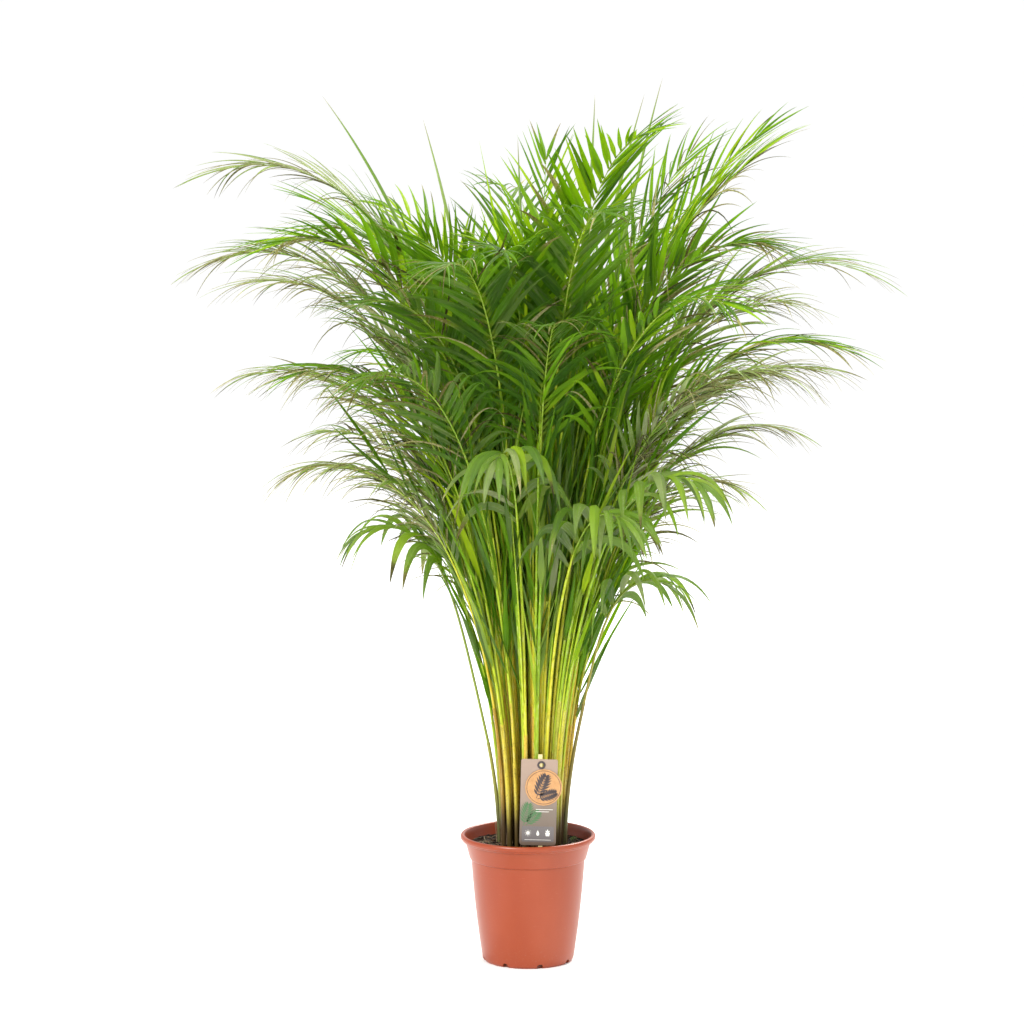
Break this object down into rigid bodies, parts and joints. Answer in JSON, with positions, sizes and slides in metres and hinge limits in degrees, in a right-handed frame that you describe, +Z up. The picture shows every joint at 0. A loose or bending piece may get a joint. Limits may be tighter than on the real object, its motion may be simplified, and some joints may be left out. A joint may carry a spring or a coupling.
{
  "type": "potted palm",
  "caption": "Young feather palm: a dense clump of slender stems with arching pinnate fronds, standing in a round plastic nursery pot with a care label.",
  "frame": {"origin": "centre of the pot's flat foot, on the ground", "axes": "+Z up along the pot's axis, +Y away from the side that the label faces"},
  "size_m": [1.1172, 1.0817, 1.3649],
  "materials": {
    "pot": "satin terracotta-coloured moulded plastic",
    "soil": "damp peat and bark potting soil",
    "frond": "living leaf, satin, on yellow-green stalks",
    "spear": "unopened leaf, pale green, satin",
    "label_card": "printed plastic card",
    "label_badge": "plain brown card disc",
    "label_stake": "pale split bamboo"
  },
  "bodies": {
    "root": {"pot": "pot", "soil": "soil", "label_card": "label_card", "label_badge": "label_badge", "label_stake": "label_stake", "spear_01": "spear", "spear_02": "spear", "frond_03": "frond", "spear_04": "spear", "spear_05": "spear", "spear_06": "spear", "spear_07": "spear", "frond_08": "frond", "frond_09": "frond", "frond_10": "frond", "frond_11": "frond", "frond_12": "frond", "frond_13": "frond", "frond_14": "frond", "frond_15": "frond", "frond_16": "frond", "frond_17": "frond", "frond_18": "frond", "frond_19": "frond", "frond_20": "frond", "frond_21": "frond", "frond_22": "frond", "frond_23": "frond", "frond_24": "frond", "frond_25": "frond", "frond_26": "frond", "frond_27": "frond", "frond_28": "frond", "frond_29": "frond", "frond_30": "frond", "frond_31": "frond", "frond_32": "frond", "frond_33": "frond", "frond_34": "frond", "frond_35": "frond", "frond_36": "frond", "frond_37": "frond", "frond_38": "frond", "frond_39": "frond", "frond_40": "frond", "frond_41": "frond", "frond_42": "frond", "frond_43": "frond", "frond_44": "frond", "frond_45": "frond", "frond_46": "frond", "frond_47": "frond", "frond_48": "frond", "frond_49": "frond", "frond_50": "frond", "frond_51": "frond", "frond_52": "frond", "frond_53": "frond"}
  },
  "joints": []
}
